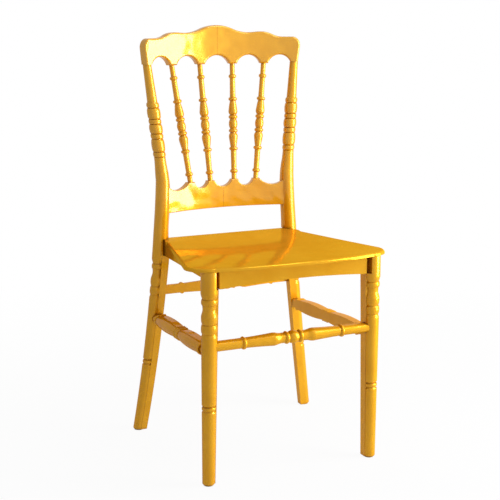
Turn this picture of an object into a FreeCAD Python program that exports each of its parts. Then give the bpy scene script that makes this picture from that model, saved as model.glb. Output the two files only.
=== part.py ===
import FreeCAD
import Part
import Sketcher
import math
import os
from FreeCAD import Placement, Rotation, Vector

# A banquet chair of moulded resin: turned legs and posts with a square inner corner, a dished seat
# shell bolted between them, and a bowed back of two scalloped rails and four spindles.
# Frame: X to the right as seen from the front, Y to the back, Z up, floor at zero,
# origin under the middle of the chair's box.

# Driving sizes in millimetres. Heights named rise or drop are taken from the top of the seat's front rim.
SIZES = (
    ("seat_height", 450, "top of the seat's front rim above the floor"),
    ("back_height", 450, "peak of the crest above the seat"),
    ("fit_gap", 0.2, "gap between faces that seat on each other"),
    ("socket_gap", 0.15, "radial gap round a tenon in its socket"),
    # plan of the legs, measured behind a datum line beside the front legs
    ("front_foot_x", 185.2, "front foot from the middle"),
    ("front_top_x", 181.3, "top of the front leg from the middle"),
    ("front_foot_ahead", 1.3, "front foot ahead of the datum line"),
    ("front_top_ahead", 4.5, "top of the front leg ahead of the datum line"),
    ("rear_foot_x", 210, "rear foot from the middle"),
    ("rear_foot_back", 356, "rear foot behind the front legs"),
    ("waist_x", 151, "rear post from the middle where it is narrowest"),
    ("waist_back", 335.5, "narrowest place of the post behind the front legs"),
    ("waist_rise", 120, "height of the post's narrowest place above the seat"),
    ("crest_end_x", 175.5, "top of the rear post from the middle"),
    ("crest_end_back", 354, "top of the rear post behind the front legs"),
    ("crest_end_rise", 369, "seam between post and crest above the seat"),
    ("leg_curve", 1.48, "power of the post's sideways curve below its narrowest place"),
    ("leg_lean_curve", 2.8, "power of its backward curve below that place"),
    ("splay_curve", 1.08, "power of the sideways curve above it"),
    ("lean_curve", 1.1, "power of the backward curve above it"),
    # turned pattern shared by the four legs
    ("block_drop", 52, "lower end of the plain block under the seat"),
    ("collar_drop", 70, "middle of the collar"),
    ("collar_half", 6, "half height of the collar"),
    ("neck_drop", 85, "thinnest place of the neck"),
    ("pear_drop", 100, "fullest place of the pear bead"),
    ("pear_end_drop", 115, "groove under the pear bead"),
    ("band_end_drop", 133.5, "groove under the band below the pear"),
    ("shaft_drop", 141.5, "top of the plain shaft"),
    ("foot_ring_height", 162, "middle of the low ring above the floor"),
    ("foot_ring_half", 4, "half height of the low ring"),
    ("foot_groove", 4, "height of the groove on each side of the low ring"),
    ("groove_depth", 2.2, "depth of the turned grooves"),
    ("neck_radius", 13.2, "neck between collar and pear bead"),
    ("bead_radius", 16.3, "collar, pear bead and band"),
    ("block_radius", 17.2, "plain block under the seat"),
    ("shaft_radius", 15.9, "top of the plain shaft"),
    ("front_foot_radius", 12.7, "front leg at the floor"),
    ("rear_foot_radius", 13.4, "rear leg at the floor"),
    ("rear_slim", 0.6, "rear legs thinner than the front legs, in radius"),
    ("corner_proud", 0.5, "flat inner face beyond the round"),
    ("front_corner_lead", 0.3, "share of a front leg's inner face ahead of its axis"),
    ("rear_corner_lead", 1, "share of a rear leg's inner face ahead of its axis"),
    ("rear_corner_tail", 0.2, "share of a rear leg's inner face behind its axis"),
    ("post_lead", 0.25, "share of a post's inner face ahead of its axis"),
    ("post_tail", 0.4, "share of a post's inner face behind its axis"),
    ("notch_depth", 8.7, "front leg's notch behind the end of the apron"),
    ("pocket_width", 15, "width of the rear leg's pocket beside the seat"),
    ("pocket_depth", 4, "depth of that pocket"),
    ("foot_round", 2.5, "rounding of the foot's edge"),
    ("groove_step", 1, "width of the small steps beside rings and beads"),
    ("section_spacing", 40, "spacing of the sections along a leg's curve"),
    # rear post above the seat
    ("post_mid_rise", 120, "height where the post starts to thin"),
    ("post_mid_radius", 14.9, "post at that height"),
    ("post_neck_radius", 12.6, "post under its bead stack"),
    ("post_tip_radius", 9.2, "post at the crest"),
    ("post_stem_radius", 11.2, "post just above its bead stack"),
    ("stack_rise", 288, "top of the post's bead stack above the seat"),
    ("stack_ring", 11, "height of each ring in the stack"),
    ("stack_bulb_top", 24, "height of the upper bulb"),
    ("stack_bulb_mid", 20.5, "height of the middle bulb"),
    ("stack_bulb_low", 28.5, "height of the lower bulb"),
    ("stack_ring_radius", 13.9, "rings in the stack"),
    ("stack_bulb_radius", 14.7, "bulbs in the stack"),
    ("stack_groove_radius", 11.7, "grooves in the stack"),
    ("post_tenon_radius", 5.5, "tenon on the post's top"),
    ("post_tenon_length", 20, "length of that tenon"),
    # seat shell
    ("seat_half_width", 220.5, "half width of the seat at its widest"),
    ("front_overhang", 40, "front edge ahead of the front legs' axis"),
    ("seat_rear_back", 337, "rear edge of the seat behind the front legs"),
    ("seat_rear_half", 160.5, "half width where the sides reach the posts"),
    ("seat_widest_back", 30, "widest place behind the front legs' axis"),
    ("seat_side_back", 290, "rear end of the straight sides behind the front legs"),
    ("seat_nose_x", 176, "end of the front edge's long curve from the middle"),
    ("seat_nose_bow", 19, "bow of that long curve"),
    ("seat_corner_push", 10.5, "fullness of the round front corners"),
    ("seat_rear_push", 4, "fullness of the round rear corners"),
    ("seat_fall", 9, "drop of the rim from front to rear"),
    ("dish_depth", 11, "depth of the dish below the rim"),
    ("lip_thickness", 8, "thickness of the seat's rim"),
    ("seat_wall", 4, "thickness of the seat's walls and ribs"),
    ("apron_setback", 27, "front apron behind the front edge"),
    ("apron_depth", 45, "lower edge of the apron below the seat"),
    ("apron_arch", 6, "rise of the apron's lower edge in the middle"),
    ("side_skirt_depth", 26.5, "side skirt's lower edge at the front leg"),
    ("side_skirt_front_x", 188, "side skirt from the middle at the front leg"),
    ("side_skirt_rear_x", 155, "side skirt from the middle at the rear post"),
    ("rear_skirt_setback", 1, "rear skirt ahead of the seat's rear edge"),
    ("rib_spacing", 58, "distance between the ribs that run to the rear"),
    ("rib_row_spacing", 66, "distance between the ribs that run across"),
    ("rib_depth", 12, "height of the ribs under the dish"),
    # bowed back
    ("bow_radius", 420, "plan radius of both back rails"),
    ("crest_thickness", 20, "thickness of the crest"),
    ("crest_half", 190.3, "half width of the crest where shoulder and end line would meet"),
    ("crest_tip_half", 8.3, "half width of the crest at its seam with the post"),
    ("crest_corner", 22, "rounding of the crest's upper corners"),
    ("crest_shoulder_x", 152, "start of the flat shoulder from the middle"),
    ("crest_shoulder_rise", 424, "shoulder of the crest above the seat"),
    ("crest_dip_rise", 434, "dip beside the middle arch of the crest"),
    ("crest_dip_x", 76, "that dip from the middle"),
    ("crest_bump_x", 105, "small wave of the crest from the middle"),
    ("crest_bump", 1.6, "height of the small wave over the dip"),
    ("crest_cusp_rise", 365, "tips between the arches above the seat"),
    ("crest_cusp_x", 110.5, "outer spindle at the crest from the middle"),
    ("crest_inner_x", 39.2, "inner spindle at the crest from the middle"),
    ("cusp_half", 9.5, "half width of a tip"),
    ("arch_height", 19, "height of the arches above the tips"),
    ("rail_thickness", 16, "thickness of the lower back rail"),
    ("rail_low_rise", 47, "lower edge of the lower back rail"),
    ("rail_cusp_rise", 109, "tips of the lower back rail"),
    ("rail_ahead", 4, "lower rail ahead of the posts' axis"),
    ("rail_cusp_x", 79.6, "outer spindle at the lower rail from the middle"),
    ("rail_inner_x", 29.1, "inner spindle at the lower rail from the middle"),
    ("rail_cusp_half", 8, "half width of a tip of the lower rail"),
    ("scallop_depth", 14.5, "depth of the scallops in the lower rail"),
    ("rail_run_on", 13, "lower rail beyond its shoulders, before the posts trim it"),
    ("rail_tenon", 9, "length of the lower rail's end tenons"),
    ("rail_round", 2, "rounding of the lower rail's edges"),
    ("crest_round", 5, "rounding of the crest's edges"),
    ("seat_round", 6, "rounding of the seat's rim"),
    # spindles, measured from their middle
    ("spindle_tenon", 12, "length of spindle inside each rail, before it is lowered"),
    ("spindle_drop", 5.5, "spindle set below the middle between the rails"),
    ("spindle_end_radius", 5.6, "ends of a spindle"),
    ("spindle_shaft_radius", 6.5, "plain shaft of a spindle"),
    ("spindle_bead_radius", 9.8, "middle bead"),
    ("spindle_bead_half", 10.3, "half length of the middle bead"),
    ("spindle_groove_radius", 7.3, "grooves beside the middle bead"),
    ("spindle_ring_half", 4, "half length of every ring"),
    ("spindle_inner_ring_radius", 10.1, "ring next to the middle bead"),
    ("spindle_swell_at", 28, "fullest place of the swelling"),
    ("spindle_swell_radius", 10.2, "swelling at its fullest"),
    ("spindle_mid_ring_at", 55.5, "ring at the end of the swelling"),
    ("spindle_mid_ring_radius", 9.7, "that ring"),
    ("spindle_end_ring_inset", 23, "end ring from the rail"),
    ("spindle_end_ring_radius", 8.7, "end ring"),
    # stretchers, measured from their middle
    ("stretcher_end", 5, "end of each stretcher short of the leg's axis"),
    ("stretcher_flat", 6, "flat inner face of the front and rear stretchers from their axis"),
    ("side_flat", 14.4, "flat inner face of the side stretchers from their axis"),
    ("front_stretcher_drop", 162, "front stretcher below the seat"),
    ("front_stretcher_ahead", 2, "front stretcher ahead of the legs' axis"),
    ("rear_stretcher_drop", 125.5, "rear stretcher below the seat"),
    ("side_front_drop", 173.2, "side stretcher below the seat at the front leg"),
    ("side_rear_drop", 187.2, "side stretcher below the seat at the rear leg"),
    ("stretcher_radius", 10, "ends of the front and rear stretchers"),
    ("stretcher_bead_half", 10, "half length of the middle bead"),
    ("stretcher_bead_radius", 13, "middle bead"),
    ("stretcher_ring_half", 4.5, "half length of the stretchers' rings"),
    ("stretcher_ring_radius", 12.6, "rings of the stretchers"),
    ("stretcher_neck_at", 27, "neck beside the inner ring"),
    ("stretcher_neck_radius", 10, "that neck"),
    ("stretcher_swell_at", 45, "fullest place of the swelling"),
    ("stretcher_swell_radius", 12.9, "swelling at its fullest"),
    ("stretcher_outer_ring_at", 110, "outer ring"),
    ("side_end_radius", 8.6, "ends of the side stretchers"),
    ("side_ring_radius", 13.4, "rings of the side stretchers"),
    ("side_barrel_radius", 14.3, "barrels of the side stretchers"),
    ("side_ring_inset", 22, "end ring from the leg"),
    # hardware
    ("glide_height", 2, "glide under each foot"),
    ("glide_stem_radius", 3.5, "stem of a glide"),
    ("glide_stem_length", 14, "length of that stem"),
    ("bolt_radius", 2.5, "shank of the seat bolts"),
    ("bolt_length", 18, "shank beyond the washer"),
    ("bolt_head_radius", 4.6, "head of the seat bolts"),
    ("bolt_head_height", 4, "height of that head"),
    ("bolt_drop", 26, "seat bolts below the seat"),
    ("washer_radius", 5, "washers under the bolt heads"),
    ("washer_height", 1.5, "thickness of the washers"),
    ("insert_radius", 3.7, "threaded inserts in the legs"),
    ("insert_length", 12, "length of the inserts"),
    ("bolt_inset", 3.5, "front seat bolts inward of the leg's axis"),
    ("screw_radius", 1.9, "crest screws"),
    ("screw_length", 12, "length of a crest screw"),
    ("screw_head_radius", 3.8, "head of a crest screw"),
    ("screw_head_height", 2.4, "height of that head"),
)

SIDES = (("left", -1), ("right", 1))
FULL_TURN = 360
# Sections in each turned bead, and points each way in the dished top
BEAD_STEPS = 6
DISH_POINTS = 11
# Slope at the start of a quarter-round curve, as a multiple of its mean slope
ROUND_SLOPE = 3
# Spindles from left to right: the side, and the sizes that place foot and head
SPINDLES = (
    (-1, "rail_cusp_x", "crest_cusp_x"),
    (-1, "rail_inner_x", "crest_inner_x"),
    (1, "rail_inner_x", "crest_inner_x"),
    (1, "rail_cusp_x", "crest_cusp_x"),
)

doc = FreeCAD.newDocument("resin_chair")
sheet = doc.addObject("Spreadsheet::Sheet", "Sizes")
for row, (alias, value, note) in enumerate(SIZES, 1):
    sheet.set(f"A{row}", note)
    sheet.set(f"B{row}", str(value))
    sheet.setAlias(f"B{row}", alias)
doc.recompute()
subparts = []


def size(alias):
    return float(sheet.get(alias))


def cell(alias):
    return f"Sizes.{alias}"


# Places worked out from the driving sizes
def bow_sagitta(half_chord):
    radius = size("bow_radius")
    return radius - math.sqrt(radius ** 2 - half_chord ** 2)


seat_top = size("seat_height")
back_reach = size("crest_end_back") + bow_sagitta(size("crest_end_x")) + size("crest_thickness") / 2
front_axis_y = (size("front_overhang") - back_reach) / 2
front_edge_y = front_axis_y - size("front_overhang")
waist_z = seat_top + size("waist_rise")
crest_seam_z = seat_top + size("crest_end_rise")
seat_under = seat_top - size("lip_thickness")
apron_low_z = seat_top - size("apron_depth")
seat_slope = size("seat_fall") / (size("front_overhang") + size("seat_rear_back"))
seat_rear_y = front_axis_y + size("seat_rear_back")
rail_end_y = front_axis_y + size("waist_back") - size("rail_ahead")


def behind(alias):
    return front_axis_y + size(alias)


def post_centre(z):
    # the rear post splays out to the foot below its narrowest place, and out and back above it
    if z < waist_z:
        fall = (waist_z - z) / waist_z
        x = size("waist_x") + (size("rear_foot_x") - size("waist_x")) * fall ** size("leg_curve")
        lean = fall ** size("leg_lean_curve")
        back = size("waist_back") + (size("rear_foot_back") - size("waist_back")) * lean
    else:
        rise = min(1, (z - waist_z) / (crest_seam_z - waist_z))
        x = size("waist_x") + (size("crest_end_x") - size("waist_x")) * rise ** size("splay_curve")
        back = size("waist_back") + (size("crest_end_back") - size("waist_back")) * rise ** size("lean_curve")
    return Vector(x, front_axis_y + back, z)


def front_centre(z):
    share = z / seat_under
    x = size("front_foot_x") + (size("front_top_x") - size("front_foot_x")) * share
    ahead = size("front_foot_ahead") + (size("front_top_ahead") - size("front_foot_ahead")) * share
    return Vector(x, front_axis_y - ahead, z)


def mirrored(point, side):
    return Vector(point.x * side, point.y, point.z)


def bow_y(x, end_x, end_y):
    # middle of a bowed rail at x, where the rail passes through its end
    return end_y + bow_sagitta(end_x) - bow_sagitta(x)


# Sketch helpers
def origin_plane(body, role):
    return next(feature for feature in body.Origin.OriginFeatures if feature.Role == role)


def new_sketch(body, name, role, lift=0.0):
    sketch = body.newObject("Sketcher::SketchObject", name)
    sketch.AttachmentSupport = (origin_plane(body, role), "")
    sketch.MapMode = "FlatFace"
    sketch.AttachmentOffset = Placement(Vector(0, 0, lift), Rotation())
    return sketch


def draw(sketch, corners):
    # corners are (x, y), or (x, y, via_x, via_y) where an arc through via leads to the corner;
    # a coordinate is a number or an expression on the sheet
    def number(value):
        return float(sketch.evalExpression(value)) if isinstance(value, str) else float(value)

    def place(pair):
        return Vector(number(pair[0]), number(pair[1]), 0)

    ends = []
    rules = []
    bindings = []

    def bind(geometry, position, pair):
        for kind, value in zip(("DistanceX", "DistanceY"), pair):
            bindings.append((len(rules), value))
            rules.append(Sketcher.Constraint(kind, -1, 1, geometry, position, number(value)))

    for index, corner in enumerate(corners):
        start = place(corners[index - 1][:2])
        finish = place(corner[:2])
        if len(corner) == 2:
            geometry = sketch.addGeometry(Part.LineSegment(start, finish), False)
            ends.append((geometry, 1, 2))
        else:
            via = place(corner[2:])
            turn = (via - start).cross(finish - via).z
            first, last = (start, finish) if turn > 0 else (finish, start)
            geometry = sketch.addGeometry(Part.Arc(first, via, last), False)
            ends.append((geometry, 1, 2) if turn > 0 else (geometry, 2, 1))
    for index, corner in enumerate(corners):
        geometry, start_end, finish_end = ends[index]
        before, before_start, before_finish = ends[index - 1]
        rules.append(Sketcher.Constraint("Coincident", before, before_finish, geometry, start_end))
        bind(geometry, finish_end, corner[:2])
        if len(corner) == 4:
            dot = sketch.addGeometry(Part.Point(place(corner[2:])), True)
            rules.append(Sketcher.Constraint("PointOnObject", dot, 1, geometry))
            bind(dot, 1, corner[2:])
    sketch.addConstraint(rules)
    for index, value in bindings:
        if isinstance(value, str):
            sketch.setExpression(f"Constraints[{index}]", value)


def new_body(label):
    return doc.addObject("PartDesign::Body", label)


def revolve(body, name, corners):
    sketch = new_sketch(body, name + "_profile", "XZ_Plane")
    draw(sketch, corners)
    turning = body.newObject("PartDesign::Revolution", name)
    turning.Profile = sketch
    turning.ReferenceAxis = (sketch, ["V_Axis"])
    turning.Angle = FULL_TURN
    return turning


def mirror_half(body, features, name):
    # the turned half is doubled about the middle of the piece
    double = body.newObject("PartDesign::Mirrored", name)
    double.Originals = features
    double.MirrorPlane = (origin_plane(body, "XY_Plane"), [""])
    body.Tip = double


def crown(radius, at, end_radius, end_at):
    # half of a bead from its fullest place down to its end
    via_radius = f"({radius}) - (({radius}) - ({end_radius})) / 4"
    return (end_radius, end_at, via_radius, f"(({at}) + ({end_at})) / 2")


def turned_ring(start_radius, at, half, radius):
    # a turned ring whose two ends lie on start_radius
    low = f"({at}) - ({half})"
    high = f"({at}) + ({half})"
    return [(start_radius, low), (start_radius, high, radius, at)]


def add_solid(label, shape):
    # the piece is the one large solid; slivers that a cut leaves are not part of it
    feature = doc.addObject("Part::Feature", label)
    feature.Shape = max(shape.Solids, key=lambda solid: solid.Volume)
    feature.Placement = Placement()
    subparts.append(feature)


def axis_placement(base, axis, side_axis):
    # local Z runs along axis, and local X points as nearly as it can along side_axis
    along = Vector(axis).normalize()
    across = (side_axis - along * side_axis.dot(along)).normalize()
    return Placement(base, Rotation(across, along.cross(across), along, "ZXY"))


def peg(base, direction, radius, length):
    return Part.makeCylinder(radius, length, base, direction)


def block(low, high):
    return Part.makeBox(high.x - low.x, high.y - low.y, high.z - low.z, low)


def mirror_block(low, high, side):
    if side > 0:
        return block(low, high)
    return block(Vector(-high.x, low.y, low.z), Vector(-low.x, high.y, high.z))


# Flat inner faces of the legs, and the housings where the seat's corners bear against them
corner_flats = {}


def reach_at(z, stations):
    # reach of the flat face from the leg's axis, read along a short list of heights and radii
    for (low_z, low_r), (high_z, high_r) in zip(stations, stations[1:]):
        if z <= high_z:
            return low_r + (high_r - low_r) * (z - low_z) / (high_z - low_z)
    return stations[-1][1]


def corner_stations(foot_radius, slim):
    proud = size("corner_proud") - slim
    return [
        (size("glide_height"), foot_radius + size("corner_proud")),
        (seat_top - size("shaft_drop"), size("shaft_radius") + proud),
        (seat_top - size("block_drop"), size("block_radius") + proud),
    ]


rear_block = size("block_radius") - size("rear_slim")
front_reach = size("block_radius") + size("corner_proud")
rear_reach = rear_block + size("corner_proud")
front_corner = corner_stations(size("front_foot_radius"), 0) + [(seat_top, front_reach)]
rear_corner = corner_stations(size("rear_foot_radius"), size("rear_slim")) + [(seat_top, rear_reach)]
post_mid_z = seat_top + size("post_mid_rise")
stack_top = seat_top + size("stack_rise")
stack_heights = [size("stack_ring")]
for bulb in ("stack_bulb_top", "stack_bulb_mid", "stack_bulb_low"):
    stack_heights += [size(bulb), size("stack_ring")]
stack_low = stack_top - sum(stack_heights)
# The lower rail's shoulders stand at the posts' inner sides where these are nearest each other
rail_half = size("waist_x") - size("post_mid_radius")
for name, centre, reach, depth_sign in (
    ("front", front_centre, front_reach, 1),
    ("rear", post_centre, rear_reach, -1),
):
    middle = centre(apron_low_z)
    corner_flats[name] = (middle.x - reach, middle.y + depth_sign * reach, depth_sign)


def rim_z(y):
    return seat_top - seat_slope * (y - front_edge_y)


far = size("seat_half_width") + size("seat_height")


def above_rim(drop):
    # everything above the sloping rim plane lowered by drop
    near_y = front_edge_y - size("front_overhang")
    far_y = front_axis_y + size("seat_rear_back") + size("front_overhang")
    points = [
        Vector(-far, near_y, rim_z(near_y) - drop),
        Vector(-far, far_y, rim_z(far_y) - drop),
        Vector(-far, far_y, seat_top + size("back_height")),
        Vector(-far, near_y, seat_top + size("back_height")),
    ]
    return Part.Face(Part.makePolygon(points + points[:1])).extrude(Vector(2 * far, 0, 0))


def housing(name, side):
    # the vertical cuts that give the seat's corner its flats, with an open notch or pocket beside it
    flat_x, flat_y, depth_sign = corner_flats[name]
    low = apron_low_z - size("fit_gap")
    top = rim_z(flat_y) + size("fit_gap")
    reach = 2 * size("block_radius")
    near_y = min(flat_y, flat_y + depth_sign * reach)
    notch_x = flat_x + (size("notch_depth") if name == "front" else 0)
    inner_low = Vector(flat_x - reach, flat_y - 2 * reach, low)
    inner_high = Vector(notch_x, flat_y + 2 * reach, top)
    outer_low = Vector(flat_x - reach, near_y, low)
    outer_high = Vector(flat_x + 2 * reach, near_y + reach, top)
    cuts = [mirror_block(outer_low, outer_high, side)]
    if name == "rear":
        pocket_low = Vector(flat_x - reach, flat_y - reach, low)
        pocket_high = Vector(flat_x + size("pocket_width"), flat_y + size("pocket_depth"), top)
        cuts.append(mirror_block(pocket_low, pocket_high, side))
    return mirror_block(inner_low, inner_high, side).fuse(cuts)


# Stretcher axes between the legs' centre lines
front_stretcher_z = seat_top - size("front_stretcher_drop")
rear_stretcher_z = seat_top - size("rear_stretcher_drop")
ahead = Vector(0, -size("front_stretcher_ahead"), 0)
stretcher_axes = {
    "front_stretcher": (
        mirrored(front_centre(front_stretcher_z), -1) + ahead,
        front_centre(front_stretcher_z) + ahead,
        Vector(0, 1, 0),
        "stretcher_radius",
    ),
    "rear_stretcher": (
        mirrored(post_centre(rear_stretcher_z), -1),
        post_centre(rear_stretcher_z),
        Vector(0, -1, 0),
        "stretcher_radius",
    ),
}
for side_name, side in SIDES:
    stretcher_axes["side_stretcher_" + side_name] = (
        mirrored(front_centre(seat_top - size("side_front_drop")), side),
        mirrored(post_centre(seat_top - size("side_rear_drop")), side),
        Vector(-side, 0, 0),
        "side_end_radius",
    )


def stretcher_frame(name):
    # placement at the stretcher's middle, and half of its length
    start, finish, inward, radius = stretcher_axes[name]
    axis = finish - start
    half = axis.Length / 2 - size("stretcher_end")
    return axis_placement((start + finish) / 2, axis, inward), half


def stretcher_flat(name):
    return "side_flat" if name.startswith("side") else "stretcher_flat"


def stretcher_socket(name):
    # the stretcher's end with its gap, over the whole length: round outside, square up to its flat inner face
    frame, half = stretcher_frame(name)
    gap = size("socket_gap")
    radius = size(stretcher_axes[name][3]) + gap
    length = 2 * (half + gap)
    rod = peg(Vector(0, 0, -length / 2), Vector(0, 0, 1), radius, length)
    flat = size(stretcher_flat(name)) + gap
    plate = block(Vector(0, -radius, -length / 2), Vector(flat, radius, length / 2))
    beyond = block(Vector(flat, -2 * radius, -length), Vector(flat + 2 * radius, 2 * radius, length))
    socket = rod.fuse(plate).cut(beyond)
    socket.Placement = frame
    return socket


# Seat bolts: one into the back of each front leg and one into the inner face of each rear leg
bolt_sites = []
bolt_wall = size("fit_gap") + size("seat_wall")
bolt_z = seat_top - size("bolt_drop")
for side_name, side in SIDES:
    flat_y = corner_flats["front"][1]
    bolt_x = front_centre(bolt_z).x - size("bolt_inset")
    front_base = Vector(side * bolt_x, flat_y + bolt_wall, bolt_z)
    bolt_sites.append(("front", side, front_base, Vector(0, -1, 0)))
    # the rear bolt lies half way between the leg's pocket and the seat's rear wall
    flat_x, flat_y, depth_sign = corner_flats["rear"]
    wall_y = seat_rear_y - size("rear_skirt_setback") - size("seat_wall")
    rear_y = (flat_y + size("pocket_depth") + wall_y) / 2
    rear_base = Vector(side * (flat_x - bolt_wall), rear_y, bolt_z)
    bolt_sites.append(("rear", side, rear_base, Vector(side, 0, 0)))


def insert_hole(base, direction):
    start = base + direction * (size("seat_wall") - size("fit_gap"))
    depth = size("insert_length") + 3 * size("fit_gap")
    deep = size("bolt_length") - size("seat_wall")
    hole = peg(start, direction, size("insert_radius") + size("fit_gap") / 2, depth)
    shank = size("bolt_radius") + size("fit_gap")
    return hole.fuse(peg(start, direction, shank, deep + 2 * size("fit_gap")))


def insert_holes(name, side):
    sites = [site for site in bolt_sites if site[:2] == (name, side)]
    return [insert_hole(base, direction) for corner, hand, base, direction in sites]


def glide_hole(foot):
    depth = size("glide_height") + size("glide_stem_length") + size("fit_gap")
    return peg(foot, Vector(0, 0, 1), size("glide_stem_radius") + size("socket_gap"), depth)


def head_room(base, direction):
    # free space for a bolt's head and washer inside the seat
    gap = size("fit_gap")
    depth = size("washer_height") + size("bolt_head_height") + 2 * size("seat_wall")
    return peg(base, direction * -1, size("washer_radius") + gap, depth)


# Crest screws: from the rear, square to the bow, into the posts' tenons
def screw_site(side):
    lean = size("crest_end_x") / size("bow_radius")
    outward = Vector(side * lean, math.sqrt(1 - lean ** 2), 0)
    lift = Vector(0, 0, size("post_tenon_length") / 2)
    middle = mirrored(post_centre(crest_seam_z), side) + lift
    return middle + outward * (size("crest_thickness") / 2 - size("fit_gap")), outward * -1


def screw_hole(side):
    base, way = screw_site(side)
    gap = size("fit_gap")
    head = peg(base - way * size("cusp_half"), way, size("screw_head_radius") + gap,
               size("cusp_half") + size("screw_head_height") + gap)
    return head.fuse(peg(base, way, size("screw_radius") + gap, size("screw_length") + gap))


# Legs and posts: level round sections on a centre line, as smooth stretches between the turned edges
def plain_stretch(segments, z, radius):
    # a plain taper, with enough sections to follow a curved centre line
    start_z, start_radius = segments[-1][-1]
    count = max(2, math.ceil((z - start_z) / size("section_spacing")))
    stations = []
    for step in range(count + 1):
        share = step / count
        stations.append((start_z + (z - start_z) * share, start_radius + (radius - start_radius) * share))
    segments.append(stations)


def bead_stretch(segments, z, radius, end_radius):
    # a round bead that rises from the last section and falls to end_radius
    start_z, start_radius = segments[-1][-1]
    stations = []
    for step in range(BEAD_STEPS + 1):
        share = (1 - math.cos(math.pi * step / BEAD_STEPS)) / 2
        floor = start_radius + (end_radius - start_radius) * share
        swell = math.sin(math.pi * step / BEAD_STEPS)
        stations.append((start_z + (z - start_z) * share, floor + (radius - floor) * swell))
    segments.append(stations)


def curve_stretch(segments, z, radius, start_slope, end_slope):
    # a flowing curve to the next section, level with the axis at an end whose slope is zero
    start_z, start_radius = segments[-1][-1]
    stations = []
    for step in range(BEAD_STEPS + 1):
        share = step / BEAD_STEPS
        ease = share * share * (3 - 2 * share)
        lead = share * (1 - share) ** 2 * start_slope
        trail = share * share * (share - 1) * end_slope
        blend = ease + lead + trail
        stations.append((start_z + (z - start_z) * share, start_radius + (radius - start_radius) * blend))
    segments.append(stations)


def leg_segments(foot_radius, slim):
    # the turned pattern from the glide to the block under the seat
    bead = size("bead_radius") - slim
    shaft = size("shaft_radius") - slim
    groove = bead - size("groove_depth")
    low = size("glide_height")
    shaft_z = seat_top - size("shaft_drop")

    def plain(z):
        return foot_radius + (shaft - foot_radius) * z / shaft_z

    ring_z = size("foot_ring_height")
    ring_half = size("foot_ring_half")
    ring_reach = ring_half + size("foot_groove")
    ring_floor = plain(ring_z) - size("groove_depth")
    step = size("groove_step")
    segments = [[(low, plain(low) - size("foot_round"))]]
    curve_stretch(segments, low + size("foot_round"), plain(low + size("foot_round")), ROUND_SLOPE, 0)
    plain_stretch(segments, ring_z - ring_reach, plain(ring_z - ring_reach))
    curve_stretch(segments, ring_z - ring_half - step, ring_floor, 0, 0)
    curve_stretch(segments, ring_z - ring_half, ring_floor, 0, 0)
    bead_stretch(segments, ring_z + ring_half, plain(ring_z), ring_floor)
    curve_stretch(segments, ring_z + ring_half + step, ring_floor, 0, 0)
    curve_stretch(segments, ring_z + ring_reach, plain(ring_z + ring_reach), 0, 0)
    plain_stretch(segments, shaft_z, plain(shaft_z))
    curve_stretch(segments, seat_top - size("band_end_drop"), groove, 0, 0)
    bead_stretch(segments, seat_top - size("pear_end_drop"), bead, groove)
    curve_stretch(segments, seat_top - size("pear_drop"), bead, ROUND_SLOPE, 0)
    curve_stretch(segments, seat_top - size("neck_drop"), size("neck_radius") - slim, 0, 0)
    collar_low = seat_top - size("collar_drop") - size("collar_half")
    curve_stretch(segments, collar_low, groove, 0, 1)
    bead_stretch(segments, collar_low + 2 * size("collar_half"), bead, groove)
    curve_stretch(segments, seat_top - size("block_drop"), size("block_radius") - slim, 1, 0)
    return segments[1:]


def post_segments():
    segments = leg_segments(size("rear_foot_radius"), size("rear_slim"))
    plain_stretch(segments, seat_top, rear_block)
    plain_stretch(segments, post_mid_z, size("post_mid_radius"))
    curve_stretch(segments, stack_low - size("groove_step"), size("post_neck_radius"), 0, 0)
    groove = size("stack_groove_radius")
    curve_stretch(segments, stack_low, groove, 0, 0)
    z = stack_low
    for index, height in enumerate(reversed(stack_heights)):
        # rings and bulbs take turns, with a ring at both ends of the stack
        z += height
        radius = "stack_bulb_radius" if index % 2 else "stack_ring_radius"
        bead_stretch(segments, z, size(radius), groove)
    curve_stretch(segments, z + size("groove_step"), size("post_stem_radius"), 0, 0)
    plain_stretch(segments, crest_seam_z - size("fit_gap"), size("post_tip_radius"))
    return segments


def section(station, centre, side):
    z, radius = station
    return Part.Wire(Part.makeCircle(radius, mirrored(centre(z), side), Vector(0, 0, 1)))


def turned_solid(segments, centre, side):
    ends = (segments[0][0], segments[-1][-1])
    faces = [Part.Face(section(station, centre, side)) for station in ends]
    for stations in segments:
        rings = [section(station, centre, side) for station in stations]
        faces += Part.makeLoft(rings, False, False).Faces
    shell = Part.makeShell(faces)
    shell.sewShape()
    return Part.Solid(shell)


def corner_solid(stations, centre, side, lead, tail):
    # the flat inner side of a leg, which runs from lead ahead of the axis to tail behind it
    low_z = stations[0][0]
    high_z = stations[-1][0]
    count = math.ceil((high_z - low_z) / (2 * size("section_spacing")))
    squares = []
    for step in range(count + 1):
        z = low_z + (high_z - low_z) * step / count
        reach = reach_at(z, stations)
        middle = centre(z)
        xs = (middle.x, middle.x - reach, middle.x - reach, middle.x)
        near_y = middle.y - lead * reach
        far_y = middle.y + tail * reach
        points = [Vector(side * x, y, z) for x, y in zip(xs, (near_y, near_y, far_y, far_y))]
        squares.append(Part.makePolygon(points + points[:1]))
    return Part.makeLoft(squares, True, False)


def upper_corner(gap):
    # heights and reaches of the post's flat inner side above the seat
    proud = size("corner_proud") + gap
    return [
        (rim_z(corner_flats["rear"][1]), rear_block + proud),
        (post_mid_z, size("post_mid_radius") + proud),
        (stack_low - size("groove_step"), size("post_neck_radius") * math.sqrt(1 / 2)),
    ]


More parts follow.
